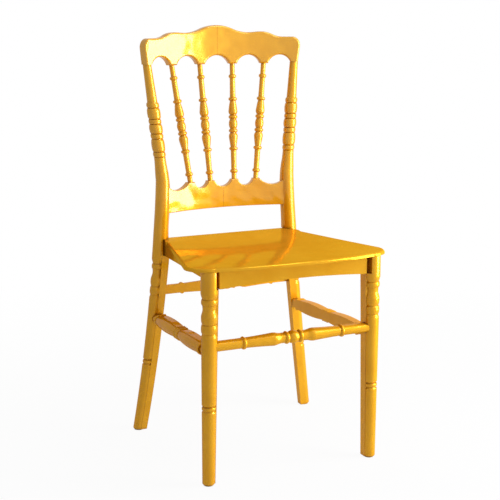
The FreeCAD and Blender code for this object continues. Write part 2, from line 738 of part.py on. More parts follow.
def make_legs():
    for side_name, side in SIDES:
        segments = leg_segments(size("front_foot_radius"), 0)
        plain_stretch(segments, seat_top, size("block_radius"))
        shape = turned_solid(segments, front_centre, side)
        shape = shape.fuse(corner_solid(front_corner, front_centre, side, size("front_corner_lead"), 1))
        tools = [above_rim(size("lip_thickness") + size("fit_gap")), housing("front", side)]
        tools += [glide_hole(mirrored(front_centre(0), side))]
        tools += [stretcher_socket("front_stretcher"), stretcher_socket("side_stretcher_" + side_name)]
        tools += insert_holes("front", side)
        add_solid("front_leg_" + side_name, shape.cut(tools))
    low_corner = [station for station in rear_corner if station[0] < seat_top]
    low_corner.append((rim_z(corner_flats["rear"][1]), rear_reach))
    for side_name, side in SIDES:
        shape = turned_solid(post_segments(), post_centre, side)
        top = mirrored(post_centre(crest_seam_z), side)
        half = Vector(0, 0, size("post_tenon_length") / 2)
        tenon = peg(top - half, Vector(0, 0, 1), size("post_tenon_radius"), 3 * half.z)
        lower = corner_solid(low_corner, post_centre, side,
                             size("rear_corner_lead"), size("rear_corner_tail"))
        upper = corner_solid(upper_corner(0), post_centre, side, size("post_lead"), size("post_tail"))
        shape = shape.fuse([lower, upper, tenon])
        tools = [housing("rear", side), glide_hole(mirrored(post_centre(0), side))]
        tools += [stretcher_socket("rear_stretcher"), stretcher_socket("side_stretcher_" + side_name)]
        tools += insert_holes("rear", side)
        tools += [rail_mortise(side), screw_hole(side)]
        add_solid("rear_post_" + side_name, shape.cut(tools))
    print("legs and posts made")


# Seat shell
def dish_face(drop):
    # the seat's hollowed top, lowered by drop; it meets the rim all round
    near_y = front_edge_y - size("front_overhang") / 2
    far_y = seat_rear_y + size("front_overhang") / 2
    middle_y = (front_edge_y + seat_rear_y) / 2
    half_depth = (seat_rear_y - front_edge_y) / 2
    wide = size("seat_half_width") + size("front_overhang") / 2
    rows = []
    for row in range(DISH_POINTS):
        y = near_y + (far_y - near_y) * row / (DISH_POINTS - 1)
        line = []
        for column in range(DISH_POINTS):
            x = wide * (2 * column / (DISH_POINTS - 1) - 1)
            across = 1 - (x / side_line(y)) ** 2
            along = 1 - ((y - middle_y) / half_depth) ** 2
            line.append(Vector(x, y, rim_z(y) - drop - size("dish_depth") * across * along))
        rows.append(line)
    surface = Part.BSplineSurface()
    surface.interpolate(rows)
    return surface.toShape()


def above_dish(drop):
    return dish_face(drop).extrude(Vector(0, 0, size("seat_height")))


def side_line(y):
    # half width of the seat along its straight sides
    run = size("seat_side_back") - size("seat_widest_back")
    share = (y - front_axis_y - size("seat_widest_back")) / run
    return size("seat_half_width") + (size("seat_rear_half") - size("seat_half_width")) * share


def seat_outline(z):
    # the rim from above: bowed front, round corners, straight tapering sides, notched for the posts
    flat_x, flat_y, depth_sign = corner_flats["rear"]
    notch_x = flat_x - size("fit_gap")
    nose_y = front_edge_y + size("seat_nose_bow")
    wide_y = front_axis_y + size("seat_widest_back")
    side_y = front_axis_y + size("seat_side_back")
    corner_x = (size("seat_nose_x") + size("seat_half_width")) / 2 + size("seat_corner_push")
    corner_y = (nose_y + wide_y) / 2 - size("seat_corner_push")
    turn_y = flat_y - size("fit_gap")
    round_x = (notch_x + size("seat_rear_half")) / 2 + size("seat_rear_push")
    round_y = (side_y + turn_y) / 2 + size("seat_rear_push")
    edges = []
    for sign in (1, -1):
        def at(x, y):
            return Vector(sign * x, y, z)

        edges.append(Part.Arc(at(size("seat_nose_x"), nose_y), at(corner_x, corner_y),
                              at(size("seat_half_width"), wide_y)).toShape())
        edges.append(Part.makeLine(at(size("seat_half_width"), wide_y), at(size("seat_rear_half"), side_y)))
        edges.append(Part.Arc(at(size("seat_rear_half"), side_y), at(round_x, round_y),
                              at(notch_x, turn_y)).toShape())
        edges.append(Part.makeLine(at(notch_x, turn_y), at(notch_x, seat_rear_y)))
    edges.append(Part.makeLine(Vector(-notch_x, seat_rear_y, z), Vector(notch_x, seat_rear_y, z)))
    nose = Part.Arc(Vector(-size("seat_nose_x"), nose_y, z), Vector(0, front_edge_y, z),
                    Vector(size("seat_nose_x"), nose_y, z))
    edges.append(nose.toShape())
    return Part.Face(Part.Wire(Part.__sortEdges__(edges)))


def skirt_outline(inset, z):
    # the walls under the rim, stepped in at each corner to bear against the legs' flats
    front_x, front_y, front_sign = corner_flats["front"]
    rear_x, rear_y, rear_sign = corner_flats["rear"]
    gap = size("fit_gap")
    half = [
        (front_x - gap - inset, front_edge_y + size("apron_setback") + inset),
        (front_x - gap - inset, front_y + gap + inset),
        (size("side_skirt_front_x") - inset, front_y + gap + inset),
        (size("side_skirt_rear_x") - inset, rear_y - gap - inset),
        (rear_x - gap - inset, rear_y - gap - inset),
        (rear_x - gap - inset, seat_rear_y - size("rear_skirt_setback") - inset),
    ]
    points = [Vector(x, y, z) for x, y in half] + [Vector(-x, y, z) for x, y in reversed(half)]
    return Part.Face(Part.makePolygon(points + points[:1]))


def rib_slabs(low, high):
    # ribs run both ways across the underside
    slabs = []
    middle_y = (front_edge_y + seat_rear_y) / 2
    half = size("seat_wall") / 2
    count = int(size("seat_half_width") / size("rib_spacing"))
    for step in range(-count, count + 1):
        x = step * size("rib_spacing")
        slabs.append(block(Vector(x - half, front_edge_y, low), Vector(x + half, seat_rear_y, high)))
    count = int((seat_rear_y - middle_y) / size("rib_row_spacing"))
    for step in range(-count, count + 1):
        y = middle_y + step * size("rib_row_spacing")
        slabs.append(block(Vector(-far, y - half, low), Vector(far, y + half, high)))
    return slabs


def skirt_trims():
    # the side skirts deepen to the rear, and the apron's lower edge arches
    flat_y = corner_flats["front"][1] + size("fit_gap") + size("seat_wall")
    rear_y = corner_flats["rear"][1] - size("fit_gap") - size("seat_wall")
    low = apron_low_z - size("apron_depth")
    profile = [
        Vector(-far, flat_y, low),
        Vector(-far, flat_y, seat_top - size("side_skirt_depth")),
        Vector(-far, rear_y, apron_low_z),
        Vector(-far, rear_y, low),
    ]
    sides = Part.Face(Part.makePolygon(profile + profile[:1])).extrude(Vector(2 * far, 0, 0))
    half = corner_flats["front"][0] - size("fit_gap") - 2 * size("seat_wall")
    apron_y = front_edge_y + size("apron_setback")
    start = Vector(-half, apron_y - size("seat_wall"), apron_low_z)
    finish = Vector(half, apron_y - size("seat_wall"), apron_low_z)
    top = Vector(0, apron_y - size("seat_wall"), apron_low_z + size("apron_arch"))
    arch = Part.Wire([Part.Arc(start, top, finish).toShape(), Part.makeLine(finish, start)])
    return [sides, Part.Face(arch).extrude(Vector(0, 3 * size("seat_wall"), 0))]


def make_seat():
    low = apron_low_z
    tall = seat_top + size("lip_thickness") - low
    lip = seat_outline(low).extrude(Vector(0, 0, tall)).common(above_rim(size("lip_thickness")))
    skirt = skirt_outline(0, low).extrude(Vector(0, 0, tall))
    hollow = skirt_outline(size("seat_wall"), low - size("seat_wall")).extrude(Vector(0, 0, tall))
    ribs = above_dish(size("seat_wall") + size("rib_depth")).common(rib_slabs(low, seat_top))
    hollow = hollow.cut([above_dish(size("seat_wall")), ribs])
    tools = [above_dish(0), hollow] + skirt_trims()
    hole = size("bolt_radius") + size("fit_gap")
    for name, side, base, way in bolt_sites:
        tools.append(peg(base - way * size("fit_gap"), way, hole, 2 * size("seat_wall")))
        tools.append(head_room(base, way))
    shape = lip.fuse(skirt).cut(tools)
    edges = []
    for edge in shape.Edges:
        point = edge.valueAt((edge.FirstParameter + edge.LastParameter) / 2)
        on_rim = abs(point.z - rim_z(point.y)) < size("lip_thickness") / 4
        if on_rim and point.y < front_axis_y + size("seat_side_back"):
            edges.append(edge)
    add_solid("seat_shell", shape.makeFillet(size("seat_round"), edges))
    print("seat made")


# Bowed rails of the back
def bowed_band(label, end_x, end_y, half, thickness, low, height):
    # a level band between two arcs in plan, padded to the rail's height
    body = new_body(label)
    sketch = new_sketch(body, label + "_plan", "XY_Plane", low)
    middle_y = end_y + bow_sagitta(end_x) - size("bow_radius")
    outer = size("bow_radius") + thickness / 2
    inner = size("bow_radius") - thickness / 2
    outer_y = middle_y + math.sqrt(outer ** 2 - half ** 2)
    inner_y = middle_y + math.sqrt(inner ** 2 - half ** 2)
    draw(sketch, [
        (half, outer_y),
        (-half, outer_y, 0, middle_y + outer),
        (-half, inner_y),
        (half, inner_y, 0, middle_y + inner),
    ])
    pad = body.newObject("PartDesign::Pad", label + "_pad")
    pad.Profile = sketch
    pad.Length = height
    return body


def outline_loft(label, outline, end_x, end_y, thickness):
    # the rail's outline, spread out from the bow's centre so that its edges run square through the bow
    body = new_body(label)
    centre_y = end_y + bow_sagitta(end_x) - size("bow_radius")
    sketches = []
    for name, y in (("near", end_y - 2 * thickness), ("far", centre_y + size("bow_radius") + thickness)):
        sketch = new_sketch(body, f"{label}_{name}", "XZ_Plane", -y)
        draw(sketch, outline(y - centre_y))
        sketches.append(sketch)
    loft = body.newObject("PartDesign::AdditiveLoft", label + "_loft")
    loft.Profile = sketches[0]
    loft.Sections = sketches[1:]
    loft.Ruled = True
    return body


def spread(x, reach):
    # x on the bow's middle line, moved out along the bow's radius to a plane at reach from its centre
    if isinstance(x, str):
        bow = cell("bow_radius")
        return f"{reach} * ({x}) / sqrt({bow} * {bow} - ({x}) * ({x}))"
    return reach * x / math.sqrt(size("bow_radius") ** 2 - x ** 2)


def negative(value):
    return f"-({value})" if isinstance(value, str) else -value


def flipped(pair):
    return (negative(pair[0]),) + tuple(pair[1:])


def symmetric(half, top_via, low_via):
    # close a right half with its mirror image; a via makes the closing edge an arc
    loop = [tuple(half[0][:2]) + top_via] + half[1:]
    loop.append(flipped(half[-1][:2]) + low_via)
    for index in range(len(half) - 1, 0, -1):
        via = half[index][2:]
        loop.append(flipped(half[index - 1][:2]) + (flipped(via) if via else ()))
    return loop


def rise(alias):
    return f"({cell('seat_height')} + {cell(alias)})"


def wave(start, finish):
    # a rolling edge: two equal arcs that meet half way and run level at both ends
    run = finish[0] - start[0]
    lift = finish[1] - start[1]
    radius = (run ** 2 + lift ** 2) / (4 * abs(lift))
    bulge = math.copysign(radius - math.sqrt(radius ** 2 - (run / 4) ** 2), lift)
    return [
        (start[0] + run / 2, start[1] + lift / 2, start[0] + run / 4, start[1] + bulge),
        (finish[0], finish[1], finish[0] - run / 4, finish[1] - bulge),
    ]


def tangent_corner(reach):
    # the upper corner's arc leaves the level shoulder and runs into the sloping end without a kink
    corner = Vector(spread(size("crest_half"), reach), seat_top + size("crest_shoulder_rise"), 0)
    end = Vector(spread(size("crest_end_x") + size("crest_tip_half"), reach), crest_seam_z, 0)
    down = (end - corner).normalize()
    inward = Vector(-1, 0, 0)
    start = corner + inward * size("crest_corner")
    finish = corner + down * size("crest_corner")
    half_angle = down.getAngle(inward) / 2
    radius = size("crest_corner") * math.tan(half_angle)
    middle = corner + (down + inward).normalize() * (radius / math.sin(half_angle) - radius)
    return [(start.x, start.y), (finish.x, finish.y, middle.x, middle.y)]


def crest_outline(reach):
    def at(x):
        return spread(x, reach)

    peak = (0, seat_top + size("back_height"))
    dip = (at(size("crest_dip_x")), seat_top + size("crest_dip_rise"))
    bump = (at(size("crest_bump_x")), dip[1] + size("crest_bump"))
    shoulder = (at(size("crest_shoulder_x")), seat_top + size("crest_shoulder_rise"))
    half = wave(peak, dip)
    half[0] = half[0][:2]
    half += wave(dip, bump) + wave(bump, shoulder)
    half += tangent_corner(reach)
    tip = cell("crest_tip_half")
    end_x = cell("crest_end_x")
    seam = rise("crest_end_rise")
    outer = cell("crest_cusp_x")
    inner = cell("crest_inner_x")
    cusp = cell("cusp_half")
    cusp_z = rise("crest_cusp_rise")
    crown_z = f"({cusp_z} + {cell('arch_height')})"
    half.append((at(f"{end_x} + {tip}"), seam))
    half.append((at(f"{end_x} - {tip}"), seam))
    half.append((at(f"{outer} + {cusp}"), cusp_z, at(f"({outer} + {cusp} + {end_x} - {tip}) / 2"), crown_z))
    half.append((at(f"{outer} - {cusp}"), cusp_z))
    half.append((at(f"{inner} + {cusp}"), cusp_z, at(f"({outer} + {inner}) / 2"), crown_z))
    half.append((at(f"{inner} - {cusp}"), cusp_z))
    return symmetric(half, ("0", rise("back_height")), ("0", crown_z))


def rail_outline(reach):
    def at(x):
        return spread(x, reach)

    outer = cell("rail_cusp_x")
    inner = cell("rail_inner_x")
    cusp = cell("rail_cusp_half")
    cusp_z = rise("rail_cusp_rise")
    valley_z = f"({cusp_z} - {cell('scallop_depth')})"
    low_z = rise("rail_low_rise")
    half = [(at(f"{inner} - {cusp}"), cusp_z), (at(f"{inner} + {cusp}"), cusp_z)]
    half.append((at(f"{outer} - {cusp}"), cusp_z, at(f"({outer} + {inner}) / 2"), valley_z))
    half.append((at(f"{outer} + {cusp}"), cusp_z))
    # the outer scallop would end in a tip at the post's middle, and runs on into the post
    tip_z = seat_top + size("rail_cusp_rise")
    start_x = at(size("rail_cusp_x") + size("rail_cusp_half"))
    deep_x = (start_x + at(rail_half + size("rail_cusp_half"))) / 2
    radius = ((deep_x - start_x) ** 2 + size("scallop_depth") ** 2) / (2 * size("scallop_depth"))
    end_x = at(rail_half + size("rail_run_on"))
    end_z = tip_z - size("scallop_depth") + radius - math.sqrt(radius ** 2 - (end_x - deep_x) ** 2)
    half.append((end_x, end_z, deep_x, valley_z))
    half.append((end_x, low_z))
    return symmetric(half, ("0", valley_z), ())


def spindle_ends(index):
    # foot and head of a spindle, on the middle of the lower rail and of the crest
    side, foot, head = SPINDLES[index]
    low_x = side * size(foot)
    high_x = side * size(head)
    low_y = bow_y(low_x, size("waist_x"), rail_end_y)
    high_y = bow_y(high_x, size("crest_end_x"), behind("crest_end_back"))
    low = Vector(low_x, low_y, seat_top + size("rail_cusp_rise"))
    high = Vector(high_x, high_y, seat_top + size("crest_cusp_rise"))
    sink = (high - low).normalize() * size("spindle_drop")
    return low - sink, high - sink


def spindle_sockets():
    sockets = []
    for index in range(len(SPINDLES)):
        low, high = spindle_ends(index)
        way = (high - low).normalize()
        reach = size("spindle_tenon") + size("fit_gap")
        length = (high - low).Length + 2 * reach
        sockets.append(peg(low - way * reach, way, size("spindle_end_radius") + size("socket_gap"), length))
    return sockets


def rounded(shape, end_x, end_y, thickness, radius, skip):
    # round the edges of the front and back faces, apart from those that skip picks out
    middle = Vector(0, end_y + bow_sagitta(end_x) - size("bow_radius"), 0)
    edges = []
    for edge in shape.Edges:
        point = edge.valueAt((edge.FirstParameter + edge.LastParameter) / 2)
        depth = math.hypot(point.x, point.y - middle.y) - size("bow_radius")
        if abs(abs(depth) - thickness / 2) < size("fit_gap") and not skip(point):
            edges.append(edge)
    return shape.makeFillet(radius, edges)


def make_rails():
    low = seat_top + size("crest_cusp_rise") - size("spindle_tenon")
    high = seat_top + size("back_height") + size("spindle_tenon")
    band = bowed_band("crest_band", size("crest_end_x"), behind("crest_end_back"),
                      size("crest_half") + size("cusp_half"), size("crest_thickness"), low, high - low)
    front = outline_loft("crest_front", crest_outline, size("crest_end_x"), behind("crest_end_back"),
                         size("crest_thickness"))
    crest = doc.addObject("Part::Common", "crest_blank")
    crest.Base = band
    crest.Tool = front
    low = seat_top + size("rail_low_rise") - size("spindle_tenon")
    high = seat_top + size("rail_cusp_rise") + 2 * size("spindle_tenon")
    band = bowed_band("rail_band", size("waist_x"), rail_end_y,
                      rail_half + 3 * size("rail_cusp_half"), size("rail_thickness"), low, high - low)
    front = outline_loft("rail_front", rail_outline, size("waist_x"), rail_end_y, size("rail_thickness"))
    rail = doc.addObject("Part::Common", "rail_blank")
    rail.Base = band
    rail.Tool = front
    doc.recompute()
    crest_shape = rounded(crest.Shape, size("crest_end_x"), behind("crest_end_back"),
                          size("crest_thickness"), size("crest_round"),
                          lambda point: abs(point.z - crest_seam_z) < size("fit_gap"))
    rail_shape = rounded(rail.Shape, size("waist_x"), rail_end_y, size("rail_thickness"),
                         size("rail_round"), lambda point: abs(point.x) > rail_half)
    tenons = []
    tools = spindle_sockets()
    for side_name, side in SIDES:
        tenons.append(rail_tenon(side, 0))
        top = mirrored(post_centre(crest_seam_z), side)
        depth = size("post_tenon_length") + size("fit_gap")
        tools.append(peg(top, Vector(0, 0, 1), size("post_tenon_radius") + size("socket_gap"), depth))
        tools.append(screw_hole(side))
    add_solid("crest_rail", crest_shape.cut(tools))
    sleeves = [post_sleeve(side) for side_name, side in SIDES]
    add_solid("lower_back_rail", rail_shape.cut(sleeves).fuse(tenons).cut(spindle_sockets()))
    print("rails made")


def post_sleeve(side):
    # the post at the lower rail with its gap, which trims the rail's shoulders to the post's curve
    gap = size("fit_gap")
    reach = size("post_mid_radius") + gap
    low = seat_top + size("rail_low_rise") - size("section_spacing") / 2
    high = seat_top + size("rail_cusp_rise") + size("section_spacing") / 2
    corner = upper_corner(gap)
    stations = [(z, reach_at(z, corner)) for z in (low, (low + high) / 2, high)]
    segments = [[(low, reach)]]
    plain_stretch(segments, high, reach)
    round_part = turned_solid(segments[1:], post_centre, side)
    return round_part.fuse(corner_solid(stations, post_centre, side, size("post_lead"), size("post_tail")))


def rail_tenon(side, gap):
    # tenon on the lower rail's end, or with a gap the mortise for it
    half_z = (size("rail_cusp_rise") - size("rail_low_rise")) / 4
    middle_z = seat_top + (size("rail_cusp_rise") + size("rail_low_rise")) / 2
    half_y = size("rail_thickness") / 4
    end_y = bow_y(rail_half, size("waist_x"), rail_end_y)
    low = Vector(rail_half - size("rail_tenon"), end_y - half_y - gap, middle_z - half_z - gap)
    high = Vector(rail_half + size("rail_tenon") + gap, end_y + half_y + gap, middle_z + half_z + gap)
    return mirror_block(low, high, side)


def rail_mortise(side):
    return rail_tenon(side, size("fit_gap"))


# Turned spindles and stretchers
def make_spindles():
    groove = cell("spindle_groove_radius")
    half_ring = cell("spindle_ring_half")
    shaft = cell("spindle_shaft_radius")
    slim = cell("spindle_end_radius")
    bead_end = cell("spindle_bead_half")
    swell = cell("spindle_swell_radius")
    swell_at = cell("spindle_swell_at")
    mid_ring = cell("spindle_mid_ring_at")
    for index in range(len(SPINDLES)):
        low, high = spindle_ends(index)
        length = (high - low).Length / 2
        total = f"({length} + {cell('spindle_tenon')})"
        end_ring = f"({length} - {cell('spindle_end_ring_inset')})"
        inner_ring = f"({bead_end} + {half_ring} + {cell('groove_step')})"
        corners = [("0", "0"), (cell("spindle_bead_radius"), "0")]
        corners.append(crown(cell("spindle_bead_radius"), "0", groove, bead_end))
        corners += turned_ring(groove, inner_ring, half_ring, cell("spindle_inner_ring_radius"))
        swell_from = f"({inner_ring} + {half_ring} + {cell('groove_step')})"
        corners.append((groove, swell_from))
        via_radius = f"{swell} - ({swell} - {groove}) / 4"
        corners.append((swell, swell_at, via_radius, f"({swell_from} + {swell_at}) / 2"))
        taper_end = f"({mid_ring} - {half_ring})"
        via_radius = f"({swell} + {shaft}) / 2 + ({swell} - {shaft}) / 12"
        corners.append((shaft, taper_end, via_radius, f"({swell_at} + {taper_end}) / 2"))
        corners.append((shaft, f"{mid_ring} + {half_ring}", cell("spindle_mid_ring_radius"), mid_ring))
        taper = f"({shaft} + {slim}) / 2"
        corners += turned_ring(taper, end_ring, half_ring, cell("spindle_end_ring_radius"))
        corners += [(slim, f"{end_ring} + {half_ring}"), (slim, total), ("0", total)]
        label = f"back_spindle_{index + 1}"
        body = new_body(label)
        mirror_half(body, [revolve(body, label + "_turning", corners)], label + "_double")
        body.Placement = axis_placement((low + high) / 2, high - low, Vector(0, -1, 0))
        subparts.append(body)
    print("spindles made")


def bar_corners(length):
    # half of the front or rear stretcher: middle bead, ring, neck, swelling, long taper and outer ring
    bar = cell("stretcher_radius")
    half_ring = cell("stretcher_ring_half")
    ring_top = cell("stretcher_ring_radius")
    bead_end = cell("stretcher_bead_half")
    neck = cell("stretcher_neck_radius")
    neck_at = cell("stretcher_neck_at")
    swell = cell("stretcher_swell_radius")
    swell_at = cell("stretcher_swell_at")
    inner_ring = f"({bead_end} + {half_ring} + {cell('groove_step')})"
    outer_ring = cell("stretcher_outer_ring_at")
    corners = [("0", "0"), (cell("stretcher_bead_radius"), "0")]
    corners.append(crown(cell("stretcher_bead_radius"), "0", neck, bead_end))
    corners += turned_ring(neck, inner_ring, half_ring, ring_top)
    corners.append((neck, neck_at))
    corners.append((f"({neck} + {swell}) / 2", f"({neck_at} + {swell_at}) / 2",
                    f"{neck} + ({swell} - {neck}) / 8", f"{neck_at} + ({swell_at} - {neck_at}) / 4"))
    corners.append((swell, swell_at,
                    f"{swell} - ({swell} - {neck}) / 8", f"{swell_at} - ({swell_at} - {neck_at}) / 4"))
    corners.append((bar, f"{outer_ring} - {half_ring}",
                    f"({swell} + 2 * {bar}) / 3", f"({swell_at} + {outer_ring}) / 2"))
    corners.append((bar, f"{outer_ring} + {half_ring}", ring_top, outer_ring))
    return corners + [(bar, length), ("0", length)]


def barrel_corners(length, leg_face):
    # half of a side stretcher: three middle rings, a barrel, an end ring and a slim end
    slim = cell("side_end_radius")
    half_ring = cell("stretcher_ring_half")
    ring_top = cell("side_ring_radius")
    floor = f"({ring_top} - {cell('groove_depth')})"
    barrel = cell("side_barrel_radius")
    second = f"(2 * {half_ring})"
    barrel_from = f"(3 * {half_ring})"
    end_ring = f"({leg_face} - {cell('side_ring_inset')})"
    corners = [("0", "0"), (ring_top, "0"), crown(ring_top, "0", floor, half_ring)]
    corners.append((floor, barrel_from, ring_top, second))
    barrel_to = f"({end_ring} - {half_ring})"
    corners.append((floor, barrel_to, barrel, f"({barrel_from} + {barrel_to}) / 2"))
    corners.append((floor, f"{end_ring} + {half_ring}", ring_top, end_ring))
    return corners + [(slim, f"{end_ring} + {half_ring}"), (slim, length), ("0", length)]


def make_stretchers():
    for label, (start, finish, inward, radius) in stretcher_axes.items():
        frame, half = stretcher_frame(label)
        body = new_body(label)
        if label.startswith("side"):
            corners = barrel_corners(half, half + size("stretcher_end") - size("shaft_radius"))
        else:
            corners = bar_corners(half)
        turning = revolve(body, label + "_turning", corners)
        # towards the middle of the chair the same outline runs out square to a flat face
        flat = stretcher_flat(label)
        sketch = new_sketch(body, label + "_plate_outline", "YZ_Plane")
        draw(sketch, symmetric(corners[1:-1], (), ()))
        plate = body.newObject("PartDesign::Pad", label + "_plate")
        plate.Profile = sketch
        plate.setExpression("Length", cell(flat))
        mirror_half(body, [turning, plate], label + "_double")
        if not label.startswith("side"):
            sketch = new_sketch(body, label + "_flat", "XY_Plane", -half - size("fit_gap"))
            reach = 2 * size("stretcher_swell_radius")
            outside = f"{cell(flat)} + {reach}"
            draw(sketch, [(cell(flat), -reach), (outside, -reach), (outside, reach), (cell(flat), reach)])
            pocket = body.newObject("PartDesign::Pocket", label + "_face")
            pocket.Profile = sketch
            pocket.Length = 2 * (half + size("fit_gap"))
            pocket.Reversed = True
            body.Tip = pocket
        doc.recompute()
        if body.Shape.BoundBox.XMax > size(flat) + size("fit_gap"):
            raise ValueError(label + " has no flat face")
        body.Placement = frame
        subparts.append(body)
    print("stretchers made")


# Hardware
def make_glides():
    stem = cell("glide_stem_radius")
    top = cell("glide_height")
    feet = (("front", front_centre, "front_foot_radius"), ("rear", post_centre, "rear_foot_radius"))
    for name, centre, radius in feet:
        disc = f"({cell(radius)} - {cell('foot_round')})"
        for side_name, side in SIDES:
            label = f"foot_glide_{name}_{side_name}"
            body = new_body(label)
            corners = [("0", "0"), (f"{disc} - {cell('fit_gap')}", "0")]
            corners += [(disc, f"{top} - {cell('fit_gap')}")]
            corners += [(stem, f"{top} - {cell('fit_gap')}"), (stem, f"{top} + {cell('glide_stem_length')}")]
            corners += [("0", f"{top} + {cell('glide_stem_length')}")]
            revolve(body, label + "_turning", corners)
            body.Placement = Placement(mirrored(centre(0), side), Rotation())
            subparts.append(body)


def group(label, template, sites):
    # one node of separate equal solids, one at each site
    doc.recompute()
    copies = []
    for base, way in sites:
        copy = template.Shape.copy()
        copy.Placement = axis_placement(base, way, Vector(0, 0, 1))
        copies.append(copy)
    feature = doc.addObject("Part::Feature", label)
    feature.Shape = Part.makeCompound(copies)
    subparts.append(feature)


def make_hardware():
    shank = cell("bolt_radius")
    head = cell("bolt_head_radius")
    gap = cell("socket_gap")
    washer_top = f"-({cell('washer_height')} + {gap})"
    head_low = f"-({cell('washer_height')} + 2 * {gap})"
    head_top = f"-({cell('washer_height')} + 2 * {gap} + {cell('bolt_head_height')})"
    hole = f"({shank} + {gap})"
    bolt = new_body("bolt_pattern")
    corners = [("0", head_top), (head, head_top), (head, head_low), (shank, head_low)]
    corners += [(shank, cell("bolt_length")), ("0", cell("bolt_length"))]
    revolve(bolt, "bolt_turning", corners)
    washer = new_body("washer_pattern")
    wide = cell("washer_radius")
    corners = [(hole, washer_top), (wide, washer_top), (wide, f"-{gap}"), (hole, f"-{gap}")]
    revolve(washer, "washer_turning", corners)
    insert = new_body("insert_pattern")
    start = f"({cell('seat_wall')} + {cell('fit_gap')})"
    finish = f"({start} + {cell('insert_length')})"
    revolve(insert, "insert_turning", [(hole, start), (cell("insert_radius"), start),
                                       (cell("insert_radius"), finish), (hole, finish)])
    sites = [(base, way) for name, side, base, way in bolt_sites]
    group("seat_bolts", bolt, sites)
    group("seat_bolt_washers", washer, sites)
    group("threaded_inserts", insert, sites)
    screw = new_body("screw_pattern")
    thin = cell("screw_radius")
    wide = cell("screw_head_radius")
    head_height = cell("screw_head_height")
    corners = [("0", "0"), (wide, "0"), (wide, f"{head_height} / 2"), (thin, head_height)]
    revolve(screw, "screw_turning", corners + [(thin, cell("screw_length")), ("0", cell("screw_length"))])
    group("crest_screws", screw, [screw_site(side) for side_name, side in SIDES])
    print("hardware made")


make_legs()
make_seat()
make_rails()
make_spindles()
make_stretchers()
make_glides()
make_hardware()

# Every object has to be sound before anything is written
doc.recompute()
for item in doc.Objects:
    if "Invalid" in item.State or "Error" in item.State:
        raise ValueError(f"{item.Label} failed to build")
for item in subparts:
    if item.Shape.isNull() or not item.Shape.isValid():
        raise ValueError(f"{item.Label} is not a sound solid")
    print(item.Label, len(item.Shape.Solids), "solid", round(item.Shape.Volume), "mm3")
os.makedirs("parts", exist_ok=True)
for item in subparts:
    item.Shape.exportStep(f"parts/{item.Label}.step")
print(len(subparts), "parts written")
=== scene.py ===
import bpy
import math
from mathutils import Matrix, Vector


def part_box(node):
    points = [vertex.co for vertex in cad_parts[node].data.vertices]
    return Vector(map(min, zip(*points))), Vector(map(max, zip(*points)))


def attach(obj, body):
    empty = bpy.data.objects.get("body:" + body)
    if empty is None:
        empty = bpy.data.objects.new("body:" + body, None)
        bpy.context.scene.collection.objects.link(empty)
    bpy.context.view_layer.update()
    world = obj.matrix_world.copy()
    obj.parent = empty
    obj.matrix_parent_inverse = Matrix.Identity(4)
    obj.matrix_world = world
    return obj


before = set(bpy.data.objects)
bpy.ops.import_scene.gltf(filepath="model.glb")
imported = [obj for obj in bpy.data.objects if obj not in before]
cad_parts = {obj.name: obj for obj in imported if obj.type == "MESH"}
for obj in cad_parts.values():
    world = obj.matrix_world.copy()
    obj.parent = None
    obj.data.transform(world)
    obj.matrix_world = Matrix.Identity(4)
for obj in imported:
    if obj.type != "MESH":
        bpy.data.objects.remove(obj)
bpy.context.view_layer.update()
print("frame loaded,", len(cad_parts), "nodes")

# a Mix node's sockets by number, because its float and colour sockets share their names
mixShare = 0
floatA, floatB, floatOut = 2, 3, 0
colourA, colourB, colourOut = 6, 7, 2


def linear(hexText):  # sRGB hex to linear RGBA
    parts = [int(hexText[i:i + 2], 16) / 255 for i in (1, 3, 5)]
    flat = [p / 12.92 if p <= 0.04045 else ((p + 0.055) / 1.055) ** 2.4 for p in parts]
    return (*flat, 1.0)


def perMetre(millimetres):  # a texture scale whose features are this wide
    return 1000 / millimetres


def addNode(tree, kind, settings=None, links=None):
    node = tree.nodes.new(kind)
    for key, value in (settings or {}).items():
        if isinstance(key, int) or key in node.inputs:
            node.inputs[key].default_value = value
        else:
            setattr(node, key, value)
    for key, source in (links or {}).items():
        tree.links.new(source, node.inputs[key])
    return node


def newTree(name):
    material = bpy.data.materials.new(name)
    material.use_nodes = True
    material.node_tree.nodes.clear()
    return material, material.node_tree


# polypropylene coloured with gold pearl pigment, injection moulded in a polished tool:
# a glossy skin over fine mica flakes, deep amber in the shade and pale yellow in the light
pearlGold = {
    "gold": "#E1A016",
    "paleGold": "#E8AA20",          # where more flakes lie flat
    "amber": "#D69410",             # where fewer do
    "flowMm": 60,                   # soft streaks from the flow of the melt
    "flowBend": 0.6,
    "flowRange": (0.32, 0.68),      # gold below the first, pale gold above the second
    "flakeMm": 1.2,                 # mica is 0.05 mm, too fine to show, so it is drawn far coarser
    "flakeRange": (0.42, 0.62),
    "flakeShare": 0.3,              # how far a spot with few flakes turns amber
    "sinkMm": 40,                   # the slight unevenness that shrinking plastic leaves
    "sinkDepth": 0.0003,
    "groove": "#7A3E04",            # painted shade: the deep amber laid into turned grooves and seams
    "grooveMm": 7,                  # how far off a neighbour still shelters a place
    "grooveRange": (0.35, 0.95),    # from a sheltered place to an open one
    "grooveShare": 0.75,
    "metallic": 0.36,               # the share of mica in the skin
    "index": 1.49,
    "edgeTint": "#F2BC38",          # what the flakes mirror at a glancing angle
    "roughness": 0.3,
    "glossRange": (0.3, 0.7),       # the flakes also move the roughness a little
    "glossSpread": (-0.01, 0.015),
    "polish": (0.3, 0.6),           # the glossy skin, rubbed dull on the legs and fresh on the back
    "polishFrom": (0.40, 0.56),     # the heights between which that changes, in metres
    "coatRoughness": 0.07,
    "coatIndex": 1.55,
}


